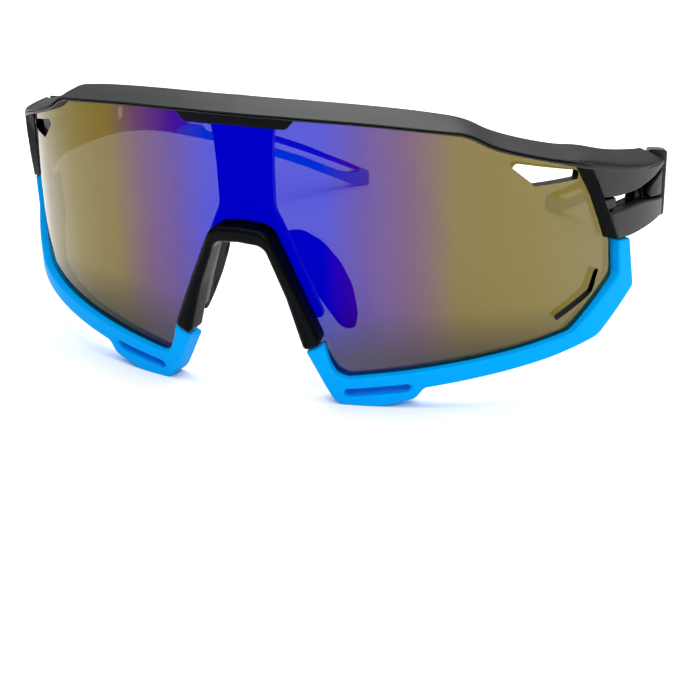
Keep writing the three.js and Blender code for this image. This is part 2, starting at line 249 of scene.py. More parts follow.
def eased(value: float, low: float, high: float) -> float:
    """A soft step from 0 at low to 1 at high."""
    t = min(max((value - low) / (high - low), 0.0), 1.0)
    return t * t * (3 - 2 * t)


@dataclass(frozen=True)
class HeightLine:
    """A height that follows a soft line through [s, h] points."""

    knots: Sequence[tuple[float, float]]

    def at(self, s: float) -> float:
        """The height of the line, which is a Catmull-Rom one.

        Args:
            s: Distance from the nose line.

        Returns:
            The height.
        """
        xs = [x for x, _ in self.knots]
        k = min(max(int(np.searchsorted(xs, s)) - 1, 0), len(xs) - 2)
        (x0, y0), (x1, y1) = self.knots[k], self.knots[k + 1]
        before = self.knots[max(k - 1, 0)]
        after = self.knots[min(k + 2, len(xs) - 1)]
        span = x1 - x0
        slope0 = (y1 - before[1]) / (x1 - before[0]) * span
        slope1 = (after[1] - y0) / (after[0] - x0) * span
        t = min(max((s - x0) / span, 0.0), 1.0)
        return (
            (2 * t**3 - 3 * t**2 + 1) * y0
            + (t**3 - 2 * t**2 + t) * slope0
            + (3 * t**2 - 2 * t**3) * y1
            + (t**3 - t**2) * slope1
        )


# ---------------------------------------------------------------- mesh work
def new_verts(made: dict[str, Any]) -> list[bmesh.types.BMVert]:
    """The vertices that an operator returned."""
    return [item for item in made["geom"] if isinstance(item, bmesh.types.BMVert)]


def drawn(bm: bmesh.types.BMesh, outline: Sequence[Corner], soft: float) -> None:
    """Draws a closed outline as one flat face with rounded corners.

    Args:
        bm: The mesh to draw in.
        outline: Corners (s, h), or (s, h, reach) where a corner has its own rounding.
        soft: Rounding of the other corners.
    """
    corners = [bm.verts.new((point[0], point[1], 0)) for point in outline]
    bm.faces.new(corners)
    for vert, point in zip(corners, outline):
        reach = point[2] if len(point) > 2 else soft
        if reach > 0:
            bmesh.ops.bevel(
                bm, geom=[vert], offset=reach, offset_type="OFFSET", segments=CORNER_STEPS,
                profile=0.5, affect="VERTICES", material=-1, clamp_overlap=True,
            )


def rounded_edges(
    bm: bmesh.types.BMesh, edges: Sequence[bmesh.types.BMEdge], reach: float, steps: int = EDGE_STEPS
) -> None:
    """Rounds edges.

    Args:
        bm: Their mesh.
        edges: The edges.
        reach: Distance from each edge at which the rounding starts.
        steps: Facets across the rounding.
    """
    bmesh.ops.bevel(
        bm, geom=list(edges), offset=reach, offset_type="OFFSET", segments=steps, profile=0.5,
        affect="EDGES", material=-1, clamp_overlap=False, loop_slide=False,
    )


def folds(bm: bmesh.types.BMesh) -> list[bmesh.types.BMEdge]:
    """The edges at which a mesh turns a corner."""
    return [edge for edge in bm.edges if edge.calc_face_angle(0) > FOLD_ANGLE]


@dataclass
class Plate:
    """A flat plate with rounded corners and edges, drawn before it is laid on a curve.

    Attributes:
        outline: Corners (s, h) or (s, h, rounding).
        low: Inner face, as a distance out.
        high: Outer face.
        holes: Outlines of the holes.
        soft: Corner rounding.
        front: Rounding of the outer edges.
        back: Rounding of the inner edges.
    """

    outline: Sequence[Corner]
    low: float
    high: float
    holes: Sequence[Sequence[Corner]] = ()
    soft: float = 0.4
    front: float = 0.3
    back: float = 0.3

    def flat(self) -> bmesh.types.BMesh:
        """Builds the flat plate."""
        bm = bmesh.new()
        for loop in (self.outline, *self.holes):
            drawn(bm, loop, self.soft)
        if self.holes:
            bmesh.ops.delete(bm, geom=list(bm.faces), context="FACES_ONLY")
            bmesh.ops.triangle_fill(
                bm, use_beauty=True, use_dissolve=False, normal=(0, 0, 1), edges=list(bm.edges)
            )
        raised = new_verts(bmesh.ops.extrude_face_region(bm, geom=list(bm.faces)))
        bmesh.ops.translate(bm, verts=list(bm.verts), vec=(0, 0, self.low))
        bmesh.ops.translate(bm, verts=raised, vec=(0, 0, self.high - self.low))
        bmesh.ops.recalc_face_normals(bm, faces=list(bm.faces))
        if self.front:
            rounded_edges(bm, self.rim_edges(bm, self.high), self.front)
        if self.back:
            rounded_edges(bm, self.rim_edges(bm, self.low), self.back)
        return bm

    @staticmethod
    def rim_edges(bm: bmesh.types.BMesh, level: float) -> list[bmesh.types.BMEdge]:
        """The edges round a face of the plate, at a level."""
        return [edge for edge in folds(bm) if all(abs(vert.co.z - level) < TINY for vert in edge.verts)]


def laid(bm: bmesh.types.BMesh, place: Place, step: float = 1.0) -> bmesh.types.BMesh:
    """Cuts a flat mesh into narrow upright strips and lays it on a curved surface.

    Args:
        bm: The flat mesh.
        place: The surface.
        step: Width of a strip.

    Returns:
        The same mesh.
    """
    low = min(vert.co.x for vert in bm.verts)
    high = max(vert.co.x for vert in bm.verts)
    for k in range(math.ceil(low / step), math.floor(high / step) + 1):
        everything = [*bm.verts, *bm.edges, *bm.faces]
        bmesh.ops.bisect_plane(
            bm, geom=everything, dist=TINY, plane_co=(k * step, 0, 0), plane_no=(1, 0, 0)
        )
    for vert in bm.verts:
        vert.co = place(*vert.co)
    return bm


def swept(
    stations: Sequence[float], section_at: Callable[[float], Section], place: Place
) -> bmesh.types.BMesh:
    """Extrudes a cross-section from station to station along a curved surface.

    Args:
        stations: Distances s, in order.
        section_at: The (out, h) corners of the section at a distance.
        place: The surface.

    Returns:
        A closed bar.
    """
    bm = bmesh.new()
    corner = bm.verts.layers.int.new("corner")
    first = []
    for i, (out, h) in enumerate(section_at(stations[0])):
        vert = bm.verts.new(place(stations[0], h, out))
        vert[corner] = i
        first.append(vert)
    ring = list(bm.faces.new(first).edges)
    for s in stations[1:]:
        made = bmesh.ops.extrude_edge_only(bm, edges=ring)
        fresh = set(new_verts(made))
        section = section_at(s)
        for vert in fresh:
            out, h = section[vert[corner]]
            vert.co = place(s, h, out)
        edges = [item for item in made["geom"] if isinstance(item, bmesh.types.BMEdge)]
        ring = [edge for edge in edges if all(vert in fresh for vert in edge.verts)]
    bmesh.ops.contextual_create(bm, geom=ring)
    bmesh.ops.recalc_face_normals(bm, faces=list(bm.faces))
    return bm


def mirrored(bm: bmesh.types.BMesh, side: Side) -> bmesh.types.BMesh:
    """Mirrors the mesh of a right-hand piece where it is wanted on the left.

    Args:
        bm: The right-hand mesh.
        side: The side wanted.

    Returns:
        The same mesh.
    """
    if side is Side.LEFT:
        bmesh.ops.scale(bm, verts=list(bm.verts), vec=(-1, 1, 1))
        bmesh.ops.reverse_faces(bm, faces=list(bm.faces))
    return bm


def merged(*parts: bmesh.types.BMesh) -> bmesh.types.BMesh:
    """Several meshes as one.

    Args:
        *parts: The meshes; they are used up.

    Returns:
        A new mesh.
    """
    whole = bmesh.new()
    for part in parts:
        carrier = bpy.data.meshes.new("carrier")
        part.to_mesh(carrier)
        part.free()
        whole.from_mesh(carrier)
        bpy.data.meshes.remove(carrier)
    return whole


def block(low: Sequence[float], high: Sequence[float], soft: float = 0.25) -> bmesh.types.BMesh:
    """A box with rounded edges.

    Args:
        low: Its lowest corner.
        high: Its highest corner.
        soft: Edge rounding.

    Returns:
        The box.
    """
    bm = bmesh.new()
    bmesh.ops.create_cube(bm, size=1)
    size = [b - a for a, b in zip(low, high)]
    bmesh.ops.scale(bm, verts=list(bm.verts), vec=size)
    bmesh.ops.translate(bm, verts=list(bm.verts), vec=[(a + b) / 2 for a, b in zip(low, high)])
    rounded_edges(bm, list(bm.edges), soft)
    return bm


def hinge_barrel(low: float, high: float) -> bmesh.types.BMesh:
    """An upright barrel on the right hinge's axis, with rounded rims.

    Args:
        low: Height of its lower end.
        high: Height of its upper end.

    Returns:
        The barrel.
    """
    bm = bmesh.new()
    bmesh.ops.create_cone(
        bm, cap_ends=True, cap_tris=False, segments=40, radius1=HINGE_RADIUS, radius2=HINGE_RADIUS,
        depth=high - low,
    )
    bmesh.ops.translate(bm, verts=list(bm.verts), vec=(HINGE_X, HINGE_Y, (low + high) / 2))
    rounded_edges(bm, folds(bm), 0.2, 2)
    return bm


def hinge_lug(front: float, back: float, low: float, high: float) -> bmesh.types.BMesh:
    """A block as wide as the right hinge's barrel, between two distances back and two heights."""
    sides = (HINGE_X - HINGE_RADIUS, HINGE_X + HINGE_RADIUS)
    return block((sides[0], front, low), (sides[1], back, high), 0.2)


# ---------------------------------------------------------------- shader helpers
@dataclass
class NodeDesk:
    """Adds and links nodes in one tree."""

    tree: bpy.types.NodeTree

    def add(self, kind: str, **settings: Any) -> bpy.types.Node:
        """Adds a node.

        Args:
            kind: Blender's node type.
            **settings: Node properties; a dictionary named "sockets" sets input values.

        Returns:
            The node.
        """
        sockets = settings.pop("sockets", {})
        node = self.tree.nodes.new(kind)
        for name, value in settings.items():
            setattr(node, name, value)
        for name, value in sockets.items():
            node.inputs[name].default_value = value
        return node

    def link(self, source: bpy.types.NodeSocket, target: bpy.types.NodeSocket) -> None:
        """Links two sockets."""
        self.tree.links.new(source, target)

    def feed(self, socket: bpy.types.NodeSocket, value: Any) -> None:
        """Links a socket, or sets its value.

        Args:
            socket: The input to feed.
            value: Socket, number or colour.
        """
        if isinstance(value, bpy.types.NodeSocket):
            self.link(value, socket)
        else:
            socket.default_value = value

    def math(self, operation: str, first: Any, second: Any = 0.0) -> bpy.types.NodeSocket:
        """A Math node on sockets or numbers.

        Args:
            operation: Blender's name of the operation.
            first: Socket or number.
            second: Socket or number.

        Returns:
            The result's socket.
        """
        node = self.add("ShaderNodeMath", operation=operation)
        for socket, value in zip(node.inputs, (first, second)):
            self.feed(socket, value)
        return node.outputs[0]

    def mix(self, factor: Any, first: Any, second: Any, blend: str = "MIX") -> bpy.types.NodeSocket:
        """A colour Mix node.

        Args:
            factor: Share of the second colour, as a socket or a number.
            first: Socket or colour.
            second: Socket or colour.
            blend: Blender's name of the way of mixing.

        Returns:
            The result's socket.
        """
        node = self.add("ShaderNodeMix", data_type="RGBA", blend_type=blend)
        for number, value in ((0, factor), (6, first), (7, second)):
            self.feed(node.inputs[number], value)
        return node.outputs[2]

    def noise(self, vector: Any, scale: Any, detail: float = 3.0) -> bpy.types.NodeSocket:
        """A noise texture's value.

        Args:
            vector: Coordinates.
            scale: Socket or number.
            detail: Octaves.

        Returns:
            The value's socket.
        """
        node = self.add("ShaderNodeTexNoise", sockets={"Detail": detail})
        self.link(vector, node.inputs["Vector"])
        self.feed(node.inputs["Scale"], scale)
        return node.outputs["Fac"]

    def spread(
        self, value: Any, low: float, high: float, to_low: float, to_high: float
    ) -> bpy.types.NodeSocket:
        """A clamped Map Range node.

        Args:
            value: Socket to map.
            low: Value that becomes to_low.
            high: Value that becomes to_high.
            to_low: Result at and below low.
            to_high: Result at and above high.

        Returns:
            The result's socket.
        """
        sockets = {1: low, 2: high, 3: to_low, 4: to_high}
        node = self.add("ShaderNodeMapRange", sockets=sockets)
        self.link(value, node.inputs[0])
        return node.outputs[0]


class SharedGroup:
    """A node group that is built once, for every finish that uses it."""

    NAME: str
    INPUTS: tuple[tuple[str, str], ...]
    OUTPUTS: tuple[tuple[str, str], ...]

    @classmethod
    def get(cls) -> bpy.types.NodeTree:
        """The group, built on first use."""
        return bpy.data.node_groups.get(cls.NAME) or cls.build()

    @classmethod
    def build(cls) -> bpy.types.NodeTree:
        """Builds the group.

        Returns:
            Its tree.
        """
        tree = bpy.data.node_groups.new(cls.NAME, "ShaderNodeTree")
        for name, kind in cls.INPUTS:
            tree.interface.new_socket(name, in_out="INPUT", socket_type=kind)
        for name, kind in cls.OUTPUTS:
            tree.interface.new_socket(name, in_out="OUTPUT", socket_type=kind)
        desk = NodeDesk(tree)
        given = desk.add("NodeGroupInput").outputs
        cls.fill(desk, given, desk.add("NodeGroupOutput").inputs)
        return tree

    @staticmethod
    def fill(desk: NodeDesk, given: Any, result: Any) -> None:
        """Adds the group's own nodes, between its given values and its results."""
        raise NotImplementedError


class SkinGroup(SharedGroup):
    """Node group: the fine moulded skin that every plastic and rubber piece has."""

    NAME = "moulded_skin"
    INPUTS = (
        ("Vector", "NodeSocketVector"), ("Colour", "NodeSocketColor"), ("Fleck", "NodeSocketColor"),
        ("Grain", "NodeSocketFloat"), ("Roughness", "NodeSocketFloat"), ("Swing", "NodeSocketFloat"),
    )
    OUTPUTS = (
        ("Colour", "NodeSocketColor"), ("Roughness", "NodeSocketFloat"), ("Height", "NodeSocketFloat"),
    )

    @staticmethod
    def fill(desk: NodeDesk, given: Any, result: Any) -> None:
        """Adds grain height, flow-mark colour and uneven roughness.

        Args:
            desk: The group's desk.
            given: The group's inputs, by name.
            result: The group's outputs, by name.
        """
        grain = desk.noise(given["Vector"], given["Grain"], 4.0)
        flow = desk.noise(given["Vector"], desk.math("MULTIPLY", given["Grain"], 0.02), 2.0)
        fleck = desk.spread(grain, 0.52, 0.72, 0.0, 1.0)
        cloud = desk.spread(flow, 0.3, 0.7, 0.0, 0.35)
        mask = desk.math("MAXIMUM", desk.math("MULTIPLY", fleck, 0.5), cloud)
        desk.link(desk.mix(mask, given["Colour"], given["Fleck"]), result["Colour"])
        uneven = desk.math("SUBTRACT", desk.math("ADD", flow, grain), 1.0)
        swing = desk.math("MULTIPLY", uneven, given["Swing"])
        desk.link(desk.math("ADD", given["Roughness"], swing), result["Roughness"])
        desk.link(grain, result["Height"])


class WipeGroup(SharedGroup):
    """Node group: faint wipe marks and dust on polished surfaces."""

    NAME = "wipe_marks"
    INPUTS = (("Vector", "NodeSocketVector"), ("Amount", "NodeSocketFloat"))
    OUTPUTS = (("Mask", "NodeSocketFloat"),)

    @staticmethod
    def fill(desk: NodeDesk, given: Any, result: Any) -> None:
        """Adds a mask of long soft strokes with a few dust points.

        Args:
            desk: The group's desk.
            given: The group's inputs, by name.
            result: The group's outputs, by name.
        """
        long_way = {"Scale": (1.0, 1.0, 6.0), "Rotation": (0.3, 0.5, 0.2)}
        stretch = desk.add("ShaderNodeMapping", sockets=long_way)
        desk.link(given["Vector"], stretch.inputs["Vector"])
        strokes = desk.spread(desk.noise(stretch.outputs[0], 70.0, 5.0), 0.45, 0.75, 0.0, 1.0)
        dust = desk.spread(desk.noise(given["Vector"], 900.0, 1.0), 0.74, 0.8, 0.0, 1.0)
        both = desk.math("MAXIMUM", strokes, dust)
        desk.link(desk.math("MULTIPLY", both, given["Amount"]), result["Mask"])


def new_material(name: str) -> tuple[bpy.types.Material, NodeDesk, bpy.types.Node]:
    """Makes a material.

    Args:
        name: Its name.

    Returns:
        The material, a desk for its tree and its Principled shader.
    """
    material = bpy.data.materials.new(name)
    material.use_nodes = True
    desk = NodeDesk(material.node_tree)
    return material, desk, material.node_tree.nodes["Principled BSDF"]


def object_coordinates(desk: NodeDesk) -> bpy.types.NodeSocket:
    """The piece's own coordinates, in metres."""
    return desk.add("ShaderNodeTexCoord").outputs["Object"]


@dataclass(frozen=True)
class Moulded:
    """A moulded plastic or rubber finish.

    Attributes:
        slot: The material slot that it fills.
        colour: Main colour, linear.
        fleck: Colour of the grain's high points.
        roughness: Middle roughness.
        swing: How far the roughness strays.
        grain: Grain frequency, per metre.
        relief: Grain depth, in millimetres.
        gloss: Specular level.
        wiped: Amount of wipe marks.
    """

    slot: Slot
    colour: tuple[float, float, float]
    fleck: tuple[float, float, float]
    roughness: float
    swing: float
    grain: float
    relief: float
    gloss: float = 0.5
    wiped: float = 0.0

    def material(self) -> bpy.types.Material:
        """Builds the material."""
        material, desk, shader = new_material(self.slot.value)
        where = object_coordinates(desk)
        skin = desk.add("ShaderNodeGroup", node_tree=SkinGroup.get())
        desk.link(where, skin.inputs["Vector"])
        skin.inputs["Colour"].default_value = (*self.colour, 1)
        skin.inputs["Fleck"].default_value = (*self.fleck, 1)
        skin.inputs["Grain"].default_value = self.grain
        skin.inputs["Roughness"].default_value = self.roughness
        skin.inputs["Swing"].default_value = self.swing
        wipe = desk.add("ShaderNodeGroup", node_tree=WipeGroup.get())
        desk.link(where, wipe.inputs["Vector"])
        wipe.inputs["Amount"].default_value = self.wiped
        desk.link(skin.outputs["Colour"], shader.inputs["Base Color"])
        rough = desk.math("ADD", skin.outputs["Roughness"], wipe.outputs["Mask"])
        desk.link(rough, shader.inputs["Roughness"])
        bump = desk.add("ShaderNodeBump", sockets={"Strength": 0.6, "Distance": self.relief * MM})
        desk.link(skin.outputs["Height"], bump.inputs["Height"])
        desk.link(bump.outputs["Normal"], shader.inputs["Normal"])
        shader.inputs["Specular IOR Level"].default_value = self.gloss
        return material


@dataclass(frozen=True)
class MirrorTint:
    """The lens coating: a coloured mirror that shifts from the middle to the sides.

    Attributes:
        slot: The material slot that it fills.
        centre_x: Where the coating's blue is deepest, in millimetres from the nose line.
        bands: (distance from there in millimetres, linear colour) of the coating.
        cover: Share of the light that the coating keeps in the middle; the rest comes through.
        side_cover: The same share towards the sides.
        cover_turn: Distances from there, in metres, between which one becomes the other.
        shade: Painted shade: the share of the coating's colour left at the lens's lower edge.
        shade_heights: Heights, in metres, between which the painted shade fades out.
        painted_vent_shade: Painted shade: linear near-black colour, with full cover, given to the walls of
            the vents so that the vents show as dark slots.
    """

    slot: Slot = Slot.TINT
    centre_x: float = 5.0
    bands: tuple[tuple[float, tuple[float, float, float]], ...] = (
        (0.0, (0.0, 0.0, 0.415)),
        (12.0, (0.0, 0.0, 0.41)),
        (20.0, (0.04, 0.0, 0.2)),
        (28.5, (0.095, 0.03, 0.1)),
        (37.0, (0.145, 0.1, 0.012)),
        (50.0, (0.155, 0.115, 0.014)),
        (66.0, (0.175, 0.142, 0.056)),
    )
    cover: float = 0.745
    side_cover: float = 0.8
    cover_turn: tuple[float, float] = (0.022, 0.04)
    shade: float = 0.25
    shade_heights: tuple[float, float] = (0.01, 0.021)
    painted_vent_shade: tuple[float, float, float] = (0.008, 0.008, 0.011)

    def material(self) -> bpy.types.Material:
        """Builds the material."""
        material, desk, shader = new_material(self.slot.value)
        where = object_coordinates(desk)
        axes = desk.add("ShaderNodeSeparateXYZ")
        desk.link(where, axes.inputs[0])
        away = desk.math("ABSOLUTE", desk.math("SUBTRACT", axes.outputs["X"], self.centre_x * MM))
        reach = self.bands[-1][0]
        share = desk.math("DIVIDE", away, reach * MM)
        uneven = desk.math("MULTIPLY", desk.math("SUBTRACT", desk.noise(where, 60.0, 2.0), 0.5), 0.03)
        ramp = desk.add("ShaderNodeValToRGB")
        desk.link(desk.math("ADD", share, uneven), ramp.inputs[0])
        for distance, colour in self.bands[1:-1]:
            ramp.color_ramp.elements.new(distance / reach).color = (*colour, 1)
        ramp.color_ramp.elements[0].color = (*self.bands[0][1], 1)
        ramp.color_ramp.elements[-1].color = (*self.bands[-1][1], 1)
        # Painted shade: the coating's colour is darkened towards the lens's lower edge.
        low = desk.spread(axes.outputs["Z"], *self.shade_heights, self.shade, 1.0)
        coating_with_painted_shade = desk.mix(1.0, ramp.outputs["Color"], low, "MULTIPLY")
        # Painted shade: the vent walls take a near-black colour and full cover in place of the coating, so
        # the vents show as dark slots.
        wall = desk.add("ShaderNodeAttribute", attribute_name="vent_wall").outputs["Fac"]
        desk.link(desk.mix(wall, coating_with_painted_shade, (*self.painted_vent_shade, 1)), shader.inputs["Base Color"])
        cover = desk.spread(away, *self.cover_turn, self.cover, self.side_cover)
        desk.link(desk.math("MAXIMUM", wall, cover), shader.inputs["Alpha"])
        wipe = desk.add("ShaderNodeGroup", node_tree=WipeGroup.get())
        desk.link(where, wipe.inputs["Vector"])
        wipe.inputs["Amount"].default_value = 0.05
        desk.link(desk.math("ADD", wipe.outputs["Mask"], 0.05), shader.inputs["Roughness"])
        shader.inputs["Metallic"].default_value = 1.0
        return material


@dataclass(frozen=True)
class TurnedSteel:
    """Bright turned steel of the hinge screws."""

    slot: Slot = Slot.STEEL

    def material(self) -> bpy.types.Material:
        """Builds the material: turning rings and a little tarnish."""
        material, desk, shader = new_material(self.slot.value)
        where = object_coordinates(desk)
        rings = desk.noise(where, 4000.0, 2.0)
        tarnish = desk.spread(desk.noise(where, 500.0, 3.0), 0.35, 0.7, 0.0, 1.0)
        bright, dull = (0.62, 0.63, 0.64, 1), (0.38, 0.37, 0.35, 1)
        desk.link(desk.mix(tarnish, bright, dull), shader.inputs["Base Color"])
        desk.link(desk.spread(rings, 0.3, 0.7, 0.2, 0.38), shader.inputs["Roughness"])
        shader.inputs["Metallic"].default_value = 1.0
        return material


@dataclass
class Finishes:
    """Every finish of the glasses, built once."""

    matte: Moulded = Moulded(
        Slot.MATTE, (0.006, 0.007, 0.007), (0.014, 0.015, 0.015), 0.4, 0.12, 2600, 0.02, 0.3
    )
    gloss: Moulded = Moulded(
        Slot.GLOSS, (0.0008, 0.0012, 0.002), (0.002, 0.003, 0.004), 0.22, 0.06, 900, 0.004, 0.05, 0.1
    )
    blue: Moulded = Moulded(
        Slot.BLUE, (0.0, 0.33, 0.86), (0.0, 0.38, 0.92), 0.42, 0.1, 1800, 0.012, 0.02, 0.05
    )
    grip: Moulded = Moulded(
        Slot.GRIP, (0.0, 0.3, 0.82), (0.0, 0.35, 0.88), 0.55, 0.14, 2400, 0.03, 0.03
    )
    pad: Moulded = Moulded(
        Slot.PAD, (0.006, 0.008, 0.008), (0.014, 0.017, 0.016), 0.7, 0.14, 2200, 0.03, 0.02
    )
    tint: MirrorTint = MirrorTint()
    steel: TurnedSteel = TurnedSteel()

    def __post_init__(self) -> None:
        """Builds the materials."""
        finishes = (self.matte, self.gloss, self.blue, self.grip, self.pad, self.tint, self.steel)
        self.made = {finish.slot: finish.material() for finish in finishes}


# ---------------------------------------------------------------- pieces
@dataclass
class Bench:
    """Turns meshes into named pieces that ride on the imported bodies.

    Attributes:
        origin: Where the drawing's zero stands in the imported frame, in metres.
        materials: Finishes by slot.
    """

    origin: Vector
    materials: dict[Slot, bpy.types.Material]

    def piece(
        self, name: str, bm: bmesh.types.BMesh, slot: Slot, body: Body, *nodes: str
    ) -> bpy.types.Object:
        """Makes a piece.

        Args:
            name: The piece's name.
            bm: Its mesh in the drawing's millimetres; it is used up.
            slot: Its finish.
            body: The body it rides on.
            *nodes: The CAD nodes it stands for.

        Returns:
            The object.
        """
        bmesh.ops.scale(bm, verts=list(bm.verts), vec=(MM, MM, MM))
        bmesh.ops.translate(bm, verts=list(bm.verts), vec=self.origin)
        for vert in bm.verts:
            vert.co.z = max(vert.co.z, 0.0)
        mesh = bpy.data.meshes.new(name)
        bm.to_mesh(mesh)
        bm.free()
        mesh.shade_smooth()
        mesh.set_sharp_from_angle(angle=SHARP_ANGLE)
        mesh.materials.append(self.materials[slot])
        piece = bpy.data.objects.new(name, mesh)
        bpy.context.scene.collection.objects.link(piece)
        even = piece.modifiers.new("even_shading", "WEIGHTED_NORMAL")
        even.keep_sharp = True
        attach(piece, body.value)
        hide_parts(*nodes)
        log.info("%s: %d faces, %s, rides on %s", name, len(mesh.polygons), slot.value, body.value)
        return piece


def both_sides(half: Sequence[Corner]) -> list[Corner]:
    """A right half that starts and ends on the nose line, with its left half added."""
    left = [(-point[0], *point[1:]) for point in reversed(half[1:-1])]
    return [*half, *left]


@dataclass
class Brow:
    """The black brow bar with its end-pieces and fixed hinge eyes."""

    curve: PlanCurve
    lip: HeightLine = HeightLine((
        (-1, 24.6), (12.2, 24.3), (27.3, 23.4), (44, 21), (46.6, 20), (50.6, 17.7), (56, 15.7),
        (64.5, 12.8), (70, 10.9), (79, 8), (87, 5.8), (100, 2.6),
    ))
    crease: HeightLine = HeightLine((
        (-1, 25.3), (12.2, 25.1), (27.3, 24.2), (44, 21.9), (46.6, 21), (50.6, 18.7), (56, 16.6),
        (64.5, 13.8), (71, 12.2), (79.3, 9.4), (87, 7.3), (100, 4.2),
    ))
    top: HeightLine = HeightLine((
        (-1, 27.5), (18, 27), (31.8, 25.8), (42.5, 24), (46.5, 22.7), (50.5, 20.6), (56, 18.5),
        (64.5, 15.9), (71, 14.4), (79.3, 11.6), (87, 9.5), (100, 6.3),
    ))
    lip_out: float = 1.5
    crease_out: float = 2.0
    back_out: float = -3.6
    span: float = 95.4
    plate_back: float = -2.2

    def section(self, s: float) -> Section:
        """The bar's section: lip, shadow groove, crease, sloping top and back.

        Over the end-pieces the groove closes and the crease softens, so that the bar runs on
        into their side face and down to their pointed tip.

        Args:
            s: Distance from the nose line.

        Returns:
            The section's corners, as (out, h).
        """
        reach = abs(s)
        lip, crease, top = (line.at(reach) for line in (self.lip, self.crease, self.top))
        lip += (crease - 0.3 - lip) * eased(reach, 80, self.span)
        depth = crease - lip
        plain = eased(reach, 64, 72)
        grooved = (
            (self.lip_out - 0.12, lip), (self.lip_out, lip + 0.1), (self.lip_out, crease - 0.52),
            (self.lip_out - 0.15, crease - 0.42), (0.7, crease - 0.42), (0.7, crease - 0.2),
            (self.crease_out - 0.2, crease - 0.14), (self.crease_out - 0.03, crease - 0.02),
            (self.crease_out - 0.12, crease + 0.16),
        )
        flush = (
            (self.crease_out - 0.06, lip), (self.crease_out - 0.01, lip + 0.08 * depth),
            (self.crease_out - 0.01, crease - 0.8 * depth), (self.crease_out - 0.02, crease - 0.65 * depth),
            (self.crease_out - 0.04, crease - 0.5 * depth), (self.crease_out - 0.08, crease - 0.36 * depth),
            (self.crease_out - 0.16, crease - 0.2 * depth), (self.crease_out - 0.3, crease - 0.04),
            (self.crease_out - 0.52, crease + 0.14),
        )
        front = [
            ((1 - plain) * a + plain * c, (1 - plain) * b + plain * d)
            for (a, b), (c, d) in zip(grooved, flush)
        ]
        rise = top - crease
        run = self.crease_out - self.back_out
        slope = [
            (self.crease_out - t * run, crease + t * rise + 0.9 * t * (1 - t))
            for t in (0.16, 0.34, 0.52, 0.7, 0.85)
        ]
        return [
            *front,
            *slope,
            (self.back_out + 0.35, top - 0.02),
            (self.back_out + 0.08, top - 0.2),
            (self.back_out, top - 0.5),
            (self.back_out, lip + 0.1),
            (self.back_out + 0.3, lip - 0.15),
        ]

    def bar(self) -> bmesh.types.BMesh:
        """The swept bar."""
        stations = [float(s) for s in np.linspace(-self.span, self.span, 240)]
        return swept(stations, self.section, self.curve.place)

    def arms(self) -> bmesh.types.BMesh:
        """The two arms of the right end-piece and the small block between them.

        Returns:
            Their mesh.
        """
        under_bar = ((92, 0.5), (87, 0.8), (80, 0.9), (73.5, 0.9))
        covered = [(s, self.crease.at(s) - depth, 0) for s, depth in under_bar]
        upper = Plate(
            [
                (70.9, 11.2, 0), (72.3, 8.0, 0), (74.2, 3.8, 0.5), (78.1, 2.95, 1.2), (84.7, 2.65, 1.5),
                (90, 3.3, 1.2), (95.5, 4.5, 0), (95.5, 5.2, 0), *covered,
            ],
            self.plate_back, self.crease_out - 0.04, soft=0, front=0.35, back=0.2,
        )
        lower = Plate(
            [
                (75.9, -0.05, 0.6), (85.8, -0.5, 0.8), (88, -0.85, 0.8), (95.5, -2.8, 0), (95.5, -6.7, 0),
                (94.2, -6.75, 1), (82.8, -6.95, 1.2), (78.5, -6.35, 0.6),
            ],
            self.plate_back, self.crease_out - 0.1, soft=0.3, front=0.5, back=0.2,
        )
        between = Plate(
            [(74.4, 2.75), (78.4, 2.5), (78.5, 0.35), (75.3, 0.4)], 0, 1.1, soft=0.2, front=0.18, back=0,
        )
        return merged(*(laid(part.flat(), self.curve.place, STRIP) for part in (upper, lower, between)))

    def wall(self) -> bmesh.types.BMesh:
        """The polished wall behind the arms, with its hole, and the pad that carries the hinge.

        Returns:
            Its mesh.
        """
        wall = Plate(
            [
                (72.2, 4.4, 0), (78, 4, 0), (95.5, 6, 0), (95.5, -4.6, 0), (86, -2.4, 0), (76, -1.4, 0),
                (74, 0.6, 0),
            ],
            self.plate_back + 0.05, 0.15,
            holes=[[(78.8, 3), (84.7, 2.7), (86, 1.2), (85.8, -0.4), (79, -0.1)]],
            soft=0.25, front=0.1, back=0,
        )
        pad = block((68.4, 41.2, -0.6), (71.5, 48.25, 10.2), 0.4)
        return merged(laid(wall.flat(), self.curve.place, STRIP), pad)

    def eyes(self) -> bmesh.types.BMesh:
        """The two fixed hinge eyes of the right end-piece.

        Returns:
            Their mesh.
        """
        parts = []
        for low in EYE_LEVELS:
            parts.append(hinge_lug(46.3, 50.4, low, low + EYE_HEIGHT))
            parts.append(hinge_barrel(low, low + EYE_HEIGHT))
        return merged(*parts)

    def bevel_strip(self) -> bmesh.types.BMesh:
        """The polished strip that slopes from the end-piece down to the lens.

        Returns:
            Its mesh.
        """
        inner = [(68.6, 11.1), (70.4, 7.7), (72.2, 4.3), (74.2, -0.6), (76.3, -5.7)]
        outer = [(78.4, -6.5), (75.85, -0.1), (74.25, 3.7), (72.7, 7.6), (71.3, 11.6)]
        low, high = self.plate_back + 0.2, self.crease_out - 0.12
        bm = Plate([*inner, *outer], low, high, soft=0, front=0, back=0).flat()
        for vert in bm.verts:
            if vert.co.z > 0 and any(math.hypot(vert.co.x - s, vert.co.y - h) < 0.2 for s, h in inner):
                vert.co.z = 0.3
        rounded_edges(bm, folds(bm), 0.14, 2)
        return laid(bm, self.curve.place, STRIP)

